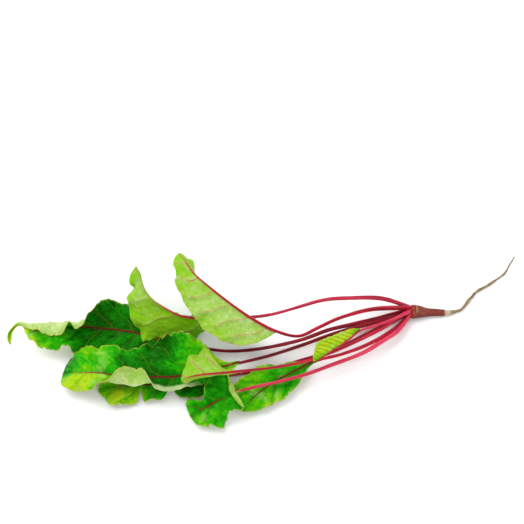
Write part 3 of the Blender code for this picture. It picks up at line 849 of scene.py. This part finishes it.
class Nodes:
    """A material, and short ways to add and join its shader nodes."""

    def __init__(self, name):
        self.material = bpy.data.materials.new(name)
        self.material.use_nodes = True
        self.tree = self.material.node_tree
        self.shader = self.tree.nodes["Principled BSDF"]

    def add(self, kind, inputs=(), **settings):
        node = self.tree.nodes.new(kind)
        for key, value in settings.items():
            setattr(node, key, value)
        for key, value in dict(inputs).items():
            self.put(node.inputs[key], value)
        return node

    def put(self, socket, value):
        if isinstance(value, bpy.types.NodeSocket):
            self.tree.links.new(value, socket)
        else:
            socket.default_value = value

    def surface(self, inputs):
        """Set or join the shader's own inputs."""
        for key, value in inputs.items():
            self.put(self.shader.inputs[key], value)

    def value(self, name, output="Fac"):
        return self.add("ShaderNodeAttribute", attribute_name=name).outputs[output]

    def vector(self, name):
        return self.value(name, "Vector")

    def split(self, socket):
        return self.add("ShaderNodeSeparateXYZ", {"Vector": socket}).outputs

    def math(self, operation, *values):
        node = self.add("ShaderNodeMath", operation=operation)
        for socket, value in zip(node.inputs, values):
            self.put(socket, value)
        return node.outputs[0]

    def plus(self, a, b):
        return self.math("ADD", a, b)

    def minus(self, a, b):
        return self.math("SUBTRACT", a, b)

    def times(self, a, b):
        return self.math("MULTIPLY", a, b)

    def size(self, value):
        return self.math("ABSOLUTE", value)

    def scaled(self, value, scale, base):
        """The value times the scale, plus the base."""
        return self.math("MULTIPLY_ADD", value, scale, base)

    def step(self, value, low, high):
        """0 at low, 1 at high, smooth between; low may be above high."""
        inputs = {"Value": value, "From Min": low, "From Max": high}
        node = self.add("ShaderNodeMapRange", inputs, interpolation_type="SMOOTHSTEP")
        return node.outputs["Result"]

    def noise(self, vector, scale, detail=3.0, roughness=0.55):
        inputs = {"Vector": vector, "Scale": scale, "Detail": detail, "Roughness": roughness}
        return self.add("ShaderNodeTexNoise", inputs).outputs["Fac"]

    def cell_edges(self, vector, scale, width):
        """1 on the edges of a field of cells, 0 from this width on."""
        inputs = {"Vector": vector, "Scale": scale}
        node = self.add("ShaderNodeTexVoronoi", inputs, feature="DISTANCE_TO_EDGE")
        return self.step(node.outputs["Distance"], width, 0.0)

    def mix(self, share, a, b):
        node = self.add("ShaderNodeMix", data_type="RGBA")
        self.put(node.inputs["Factor"], share)
        self.put(node.inputs["A"], (*a, 1) if isinstance(a, tuple) else a)
        self.put(node.inputs["B"], (*b, 1) if isinstance(b, tuple) else b)
        return node.outputs["Result"]

    def tint(self, colour, other, mask, share):
        """The colour, and this share of the other one where the mask is 1."""
        return self.mix(self.times(mask, share), colour, other)

    def ramp(self, value, stops):
        node = self.add("ShaderNodeValToRGB", {"Fac": value})
        points = node.color_ramp.elements
        while len(points) < len(stops):
            points.new(0.5)
        for point, (place, colour) in zip(points, stops):
            point.position = place
            point.color = (*colour, 1)
        return node.outputs["Color"]

    def streaks(self, vector, stretch, *texture):
        """Noise in the vector stretched by these three numbers."""
        node = self.add("ShaderNodeVectorMath", {0: vector, 1: stretch}, operation="MULTIPLY")
        return self.noise(node.outputs["Vector"], *texture)

    def bump(self, height, strength, distance):
        inputs = {"Height": height, "Strength": strength, "Distance": distance}
        self.surface({"Normal": self.add("ShaderNodeBump", inputs).outputs["Normal"]})


# Colours of the blades; a ramp runs from dark to light
TOP = (
    (0.0, (0.0001, 0.050, 0.0001)),
    (0.3, (0.0003, 0.16, 0.0002)),
    (0.55, (0.015, 0.33, 0.0005)),
    (0.8, (0.120, 0.42, 0.0008)),
    (1.0, (0.36, 0.52, 0.01)),
)
TOP_SHEEN = (0.42, 0.62, 0.17)
TOP_HALO = (0.02, 0.36, 0.002)
TOP_NET = (0.04, 0.42, 0.004)
TOP_FINE_NET = (0.06, 0.45, 0.01)
VEIN_GREEN = (0.10, 0.34, 0.008)
VEIN_RED = (0.15, 0.004, 0.010)
VEIN_LIGHT_RED = (0.50, 0.05, 0.02)
UNDERSIDE = (
    (0.0, (0.17, 0.49, 0.004)),
    (0.35, (0.21, 0.42, 0.012)),
    (0.7, (0.31, 0.47, 0.10)),
    (1.0, (0.50, 0.60, 0.27)),
)
UNDER_NET = (0.28, 0.58, 0.02)
UNDER_PALE_NET = (0.52, 0.70, 0.28)
UNDER_VEIN = (0.46, 0.50, 0.18)
UNDER_VEIN_RED = (0.44, 0.015, 0.05)
RIB_DARK = (0.13, 0.001, 0.010)
RIB_LIGHT = (0.50, 0.03, 0.06)
UNDER_RIB = (0.42, 0.008, 0.035)
MARGIN = (0.52, 0.43, 0.10)
CREASE = (0.62, 0.70, 0.36)
SPOT = (0.32, 0.07, 0.015)

# Textures of the blades: scale, detail and roughness, or scale and width of line
PATCHES = (0.055, 2.0)
MOTTLE = (0.33, 4.0)
GRAIN = (2.6,)
SHEEN_PATCHES = (0.075,)
SPOTS = (0.21, 5.0, 0.7)
NET = (0.36, 0.11)
FINE_NET = (1.05, 0.14)
WARP_SCALE = 0.5
WARP = (3.2, 3.2, 0)
VEIN_LINE_WIDTH = 0.66
VEIN_LINE_LOSS = -0.42
VEIN_LINE_CORE = 0.08
HALO = (1.9, 0.2)
SIDE_CHANCE = 0.37
CHANCE = (12.9, 43.7)
GLOW_REACH = 0.0012


def side_vein_masks(n, side_w, phase, reach, spacing):
    """The side veins, the softer bands beside them, and a chance value for each vein."""
    part = n.size(n.minus(phase, n.math("ROUND", phase)))
    fork = n.times(n.step(reach, FORK_FROM, 1.0), FORK)
    gap = n.times(n.size(n.minus(part, fork)), spacing)
    gap = n.times(gap, math.sin(math.radians(VEIN_ANGLE)))
    line = n.step(gap, n.scaled(reach, VEIN_LINE_LOSS, VEIN_LINE_WIDTH), VEIN_LINE_CORE)
    whole = n.plus(n.math("ROUND", phase), n.times(n.math("SIGN", side_w), SIDE_CHANCE))
    chance = n.times(n.size(n.math("SINE", n.times(whole, CHANCE[0]))), CHANCE[1])
    return line, n.step(gap, *HALO), n.math("FRACT", chance)


def net_masks(n, flat):
    """The coarse and the fine net of small veins."""
    warp = n.add("ShaderNodeTexNoise", {"Vector": flat, "Scale": WARP_SCALE}).outputs["Color"]
    inputs = {0: warp, 1: WARP, 2: flat}
    bent = n.add("ShaderNodeVectorMath", inputs, operation="MULTIPLY_ADD").outputs["Vector"]
    return n.cell_edges(bent, *NET), n.cell_edges(bent, *FINE_NET)


def leaf_material():
    """Green above, pale below, with red side veins, a net of small veins and a thin pale margin."""
    n = Nodes("leaf_blade")
    flat = n.vector("flat")
    _, side_w, _ = n.split(flat)
    phase, reach, spacing = n.split(n.vector("veins"))
    under, edge, rib_half = n.split(n.vector("sheet"))
    tone = n.value("tone")
    line, halo, chance = side_vein_masks(n, side_w, phase, reach, spacing)
    net, fine_net = net_masks(n, flat)
    patches = n.noise(flat, *PATCHES)
    mottle = n.noise(flat, *MOTTLE)
    grain = n.noise(flat, *GRAIN)

    # Lightness of the upper side: the leaf's tone, which is partly painted shade where other leaves
    # shade the blade, and random patches and mottle. The ramp, the veins and the rib below all
    # follow it.
    light = n.plus(tone, n.scaled(patches, 1.0, n.scaled(mottle, 0.7, -0.85)))
    # Painted light and shade of the relief: lighter on the panels and bulges, darker between them
    light = n.plus(light, n.scaled(n.value("relief_shading"), 0.38, -0.19))
    light = n.scaled(n.math("POWER", reach, 6.0), 0.16, light)
    sheen = n.times(n.step(n.noise(flat, *SHEEN_PATCHES), 0.54, 0.68), n.step(tone, 0.35, 0.75))
    top = n.tint(n.ramp(light, TOP), TOP_SHEEN, sheen, 0.45)
    top = n.tint(top, TOP_HALO, halo, 0.14)
    top = n.tint(top, TOP_NET, net, 0.13)
    top = n.tint(top, TOP_FINE_NET, fine_net, 0.07)
    fresh = n.step(n.scaled(chance, 1.3, n.times(reach, -1.0)), 0.2, 0.9)
    fresh = n.math("MAXIMUM", fresh, n.times(n.value("red"), n.step(reach, 1.0, 0.6)))
    vein = n.mix(fresh, VEIN_GREEN, VEIN_RED)
    vein = n.tint(vein, VEIN_LIGHT_RED, fresh, n.step(light, 0.7, 1.1))
    top = n.tint(top, vein, line, n.scaled(fresh, 0.7, 0.2))

    pale = n.plus(n.value("pale"), n.scaled(mottle, 0.9, n.scaled(patches, 0.7, -0.80)))
    pale = n.scaled(n.math("POWER", reach, 3.0), -0.3, pale)
    pale = n.scaled(halo, 0.12, pale)
    below_net = n.mix(n.step(pale, 0.2, 0.7), UNDER_NET, UNDER_PALE_NET)
    below = n.tint(n.ramp(pale, UNDERSIDE), below_net, net, 0.22)
    below_vein = n.mix(fresh, UNDER_VEIN, UNDER_VEIN_RED)
    below = n.tint(below, below_vein, line, n.scaled(fresh, 0.4, 0.5))

    rib = n.step(n.minus(n.size(side_w), n.times(rib_half, 0.75)), 0.3, -0.1)
    rib_red = n.mix(under, n.mix(n.step(light, 0.6, 1.0), RIB_DARK, RIB_LIGHT), UNDER_RIB)
    colour = n.mix(under, top, below)
    colour = n.tint(colour, rib_red, n.times(rib, n.value("ribbed")), 0.95)
    colour = n.tint(colour, MARGIN, edge, 0.75)
    colour = n.tint(colour, CREASE, n.value("crease"), 0.65)
    colour = n.tint(colour, SPOT, n.step(n.noise(flat, *SPOTS), 0.71, 0.76), 0.75)
    n.surface({
        "Base Color": colour,
        "Roughness": n.scaled(under, 0.16, n.scaled(mottle, 0.22, 0.27)),
        "Specular IOR Level": n.scaled(rib, -0.17, 0.22),
        "Specular Tint": (0.15, 0.9, 0.08, 1),
        "Subsurface Weight": 0.10,
        "Subsurface Radius": (0.4, 1.0, 0.05),
        "Subsurface Scale": GLOW_REACH,
    })
    height = n.scaled(grain, 0.16, n.times(mottle, 0.5))
    for mask, depth in ((net, -0.35), (fine_net, -0.12), (line, -0.5)):
        height = n.scaled(mask, depth, height)
    n.bump(n.times(height, n.scaled(under, -2.0, 1.0)), 0.55, 0.0006)
    return n.material


# Colours of the stalks
STALK = (
    (0.0, (0.030, 0.0005, 0.002)),
    (0.3, (0.15, 0.001, 0.006)),
    (0.55, (0.43, 0.003, 0.018)),
    (0.78, (0.60, 0.030, 0.065)),
    (1.0, (0.80, 0.28, 0.30)),
)
STALK_PINK = (0.74, 0.07, 0.17)
STALK_RIB_DARK = (0.13, 0.001, 0.008)
STALK_RIB_LIGHT = (0.38, 0.004, 0.024)
FADED_RIB = (0.24, 0.38, 0.05)

# Textures of the stalks and the root: stretch, scale, detail and roughness
LONG_STREAKS = ((0.012, 1.0, 1.0), 1.1, 4.0, 0.6)
THIN_STREAKS = ((0.03, 1.0, 1.0), 3.2, 3.0, 0.6)
STALK_PATCHES = ((0.05, 0.6, 0.6), 1.0)
ROOT_STREAKS = ((0.06, 1.0, 1.0), 1.3, 4.0, 0.6)
OLIVE_STREAKS = ((0.10, 0.8, 0.8), 1.0, 3.0, 0.6)
ROOT_RINGS = ((2.4, 0.25, 0.25), 1.0, 4.0, 0.65)
ROOT_BLOTCHES = (0.35, 4.0)
ROOT_GRAIN = (4.0,)


def stalk_material():
    """Glossy crimson with long pale and dark stripes; the rib in the blade is a plainer red."""
    n = Nodes("leaf_stalk")
    stripe = n.vector("stripe")
    tone = n.value("tone")
    long = n.streaks(stripe, *LONG_STREAKS)
    thin = n.streaks(stripe, *THIN_STREAKS)
    patch = n.streaks(stripe, *STALK_PATCHES)
    light = n.scaled(long, 1.3, n.scaled(thin, 0.9, -1.1))
    light = n.plus(n.plus(light, n.scaled(patch, 0.45, -0.22)), tone)
    colour = n.ramp(light, STALK)
    colour = n.tint(colour, STALK_PINK, n.value("pink"), n.scaled(long, 0.5, 0.1))
    rib_red = n.mix(n.step(tone, 0.26, 0.42), STALK_RIB_DARK, STALK_RIB_LIGHT)
    colour = n.tint(colour, rib_red, n.value("rib"), 0.85)
    colour = n.tint(colour, FADED_RIB, n.value("fade"), 0.85)
    n.surface({
        "Base Color": colour,
        "Roughness": n.scaled(thin, 0.25, 0.2),
        "Specular IOR Level": 0.32,
        "Specular Tint": (1.0, 0.55, 0.65, 1),
        "Subsurface Weight": 0.15,
        "Subsurface Radius": (1.0, 0.25, 0.3),
        "Subsurface Scale": GLOW_REACH,
    })
    n.bump(n.scaled(thin, 0.7, n.times(long, 0.6)), 0.5, 0.0004)
    return n.material


# Colours of the root
SKIN = (
    (0.15, (0.036, 0.004, 0.0035)),
    (0.45, (0.12, 0.016, 0.011)),
    (0.65, (0.21, 0.033, 0.021)),
    (0.9, (0.38, 0.13, 0.09)),
)
TAIL = (
    (0.2, (0.09, 0.050, 0.022)),
    (0.5, (0.25, 0.17, 0.080)),
    (0.85, (0.50, 0.38, 0.22)),
)
COLLAR_RED = (
    (0.3, (0.11, 0.010, 0.008)),
    (0.55, (0.28, 0.036, 0.018)),
    (0.75, (0.36, 0.13, 0.05)),
)
OLIVE = (0.27, 0.15, 0.045)
KNOT = (0.52, 0.46, 0.35)
PALE_SCAR = (0.40, 0.21, 0.085)
DARK_SCAR = (0.045, 0.010, 0.006)
CRACK = (0.05, 0.012, 0.008)


def root_material():
    """Red-brown skin with olive streaks and rings, a pale knot, a tan tail, a scarred crown."""
    n = Nodes("root_skin")
    stripe = n.vector("stripe")
    distance, across, up = n.split(stripe)
    lengthwise = n.streaks(stripe, *ROOT_STREAKS)
    streaks = n.streaks(stripe, *OLIVE_STREAKS)
    rings_round = n.streaks(stripe, *ROOT_RINGS)
    blotch = n.noise(stripe, *ROOT_BLOTCHES)
    grain = n.noise(stripe, *ROOT_GRAIN)
    light = n.scaled(lengthwise, 0.85, n.scaled(rings_round, 0.5, -0.19))
    # Painted light and shade: the skin is lighter towards the top and darker underneath
    skin = n.ramp(n.scaled(up, 0.035, light), SKIN)
    olive = n.times(n.step(streaks, 0.53, 0.66), n.step(up, 0.2, 2.5))
    olive = n.times(olive, n.step(distance, 21.0, 12.0))
    skin = n.tint(skin, OLIVE, olive, 0.65)
    tail = n.ramp(n.scaled(blotch, 0.7, n.scaled(lengthwise, 0.5, -0.12)), TAIL)
    place = n.plus(distance, n.scaled(blotch, 3.0, -1.5))
    colour = n.mix(n.step(place, 28.0, 31.5), skin, tail)
    knot = n.times(n.step(place, 27.0, 29.5), n.step(place, 34.5, 31.5))
    colour = n.tint(colour, KNOT, knot, 0.8)
    collar = n.step(n.scaled(lengthwise, 2.4, n.plus(distance, -1.2)), 3.4, 1.8)
    colour = n.tint(colour, n.ramp(blotch, COLLAR_RED), collar, 0.85)
    scar = n.size(n.minus(n.scaled(streaks, 1.6, distance), 4.4))
    facing = n.step(n.size(n.plus(across, 0.4)), 4.4, 3.2)
    pale_scar = n.times(n.step(scar, 0.8, 0.45), facing)
    dark_scar = n.times(n.times(n.step(scar, 1.5, 1.0), n.step(scar, 0.6, 0.9)), facing)
    colour = n.tint(colour, PALE_SCAR, pale_scar, 0.7)
    colour = n.tint(colour, DARK_SCAR, dark_scar, 0.6)
    colour = n.tint(colour, CRACK, n.step(rings_round, 0.36, 0.26), 0.55)
    n.surface({
        "Base Color": colour,
        "Roughness": n.scaled(grain, 0.25, 0.5),
        "Specular IOR Level": 0.25,
    })
    height = n.scaled(rings_round, 0.9, n.times(lengthwise, 0.8))
    for mask, rise in ((grain, 0.3), (pale_scar, 0.5), (dark_scar, -0.6)):
        height = n.scaled(mask, rise, height)
    n.bump(height, 0.8, 0.0006)
    return n.material


def make_camera():
    """The photo's view, at a distance that gives its scale at the target."""
    data = bpy.data.cameras.new("camera")
    data.lens = CAMERA_LENS
    data.sensor_width = CAMERA_SENSOR
    camera = new_object("camera", data)
    tilt = math.radians(CAMERA_ELEVATION)
    back = Vector((0, -math.cos(tilt), math.sin(tilt)))
    distance = METRES_PER_PIXEL * PIXELS * CAMERA_LENS / CAMERA_SENSOR
    camera.location = Vector(CAMERA_TARGET) + back * distance
    camera.rotation_euler = (-back).to_track_quat("-Z", "Y").to_euler()
    bpy.context.scene.camera = camera


def area_light(name, place, size, power):
    """A round area light turned to the plant."""
    data = bpy.data.lights.new(name, "AREA")
    data.shape = "DISK"
    data.size = size
    data.energy = power
    light = new_object(name, data)
    light.location = place
    turned = (Vector(LIGHT_TARGET) - Vector(place)).to_track_quat("-Z", "Y")
    light.rotation_euler = turned.to_euler()


def make_stage():
    """A plain pale floor, a soft key light from the upper left, two weaker ones and a pale sky."""
    square = ((-1, -1), (1, -1), (1, 1), (-1, 1))
    corners = [(x * FLOOR_REACH, y * FLOOR_REACH, 0) for x, y in square]
    mesh = bpy.data.meshes.new("floor")
    mesh.from_pydata(corners, [], [(0, 1, 2, 3)])
    paint = Nodes("floor_paint")
    paint.surface({"Base Color": (*FLOOR_COLOUR, 1), "Roughness": FLOOR_ROUGHNESS})
    mesh.materials.append(paint.material)
    floor = new_object("floor", mesh)
    for light in LIGHTS:
        area_light(*light)
    world = bpy.data.worlds.new("sky")
    world.use_nodes = True
    background = world.node_tree.nodes["Background"].inputs
    background["Color"].default_value = (1, 1, 1, 1)
    background["Strength"].default_value = SKY_STRENGTH
    bpy.context.scene.world = world
    bpy.context.scene.view_settings.view_transform = "Standard"


make_camera()
make_stage()
green = leaf_material()
red = stalk_material()
brown = root_material()
make_root(brown)
for leaf in LEAVES:
    make_stalk(leaf, red)
    make_blade(leaf, green)
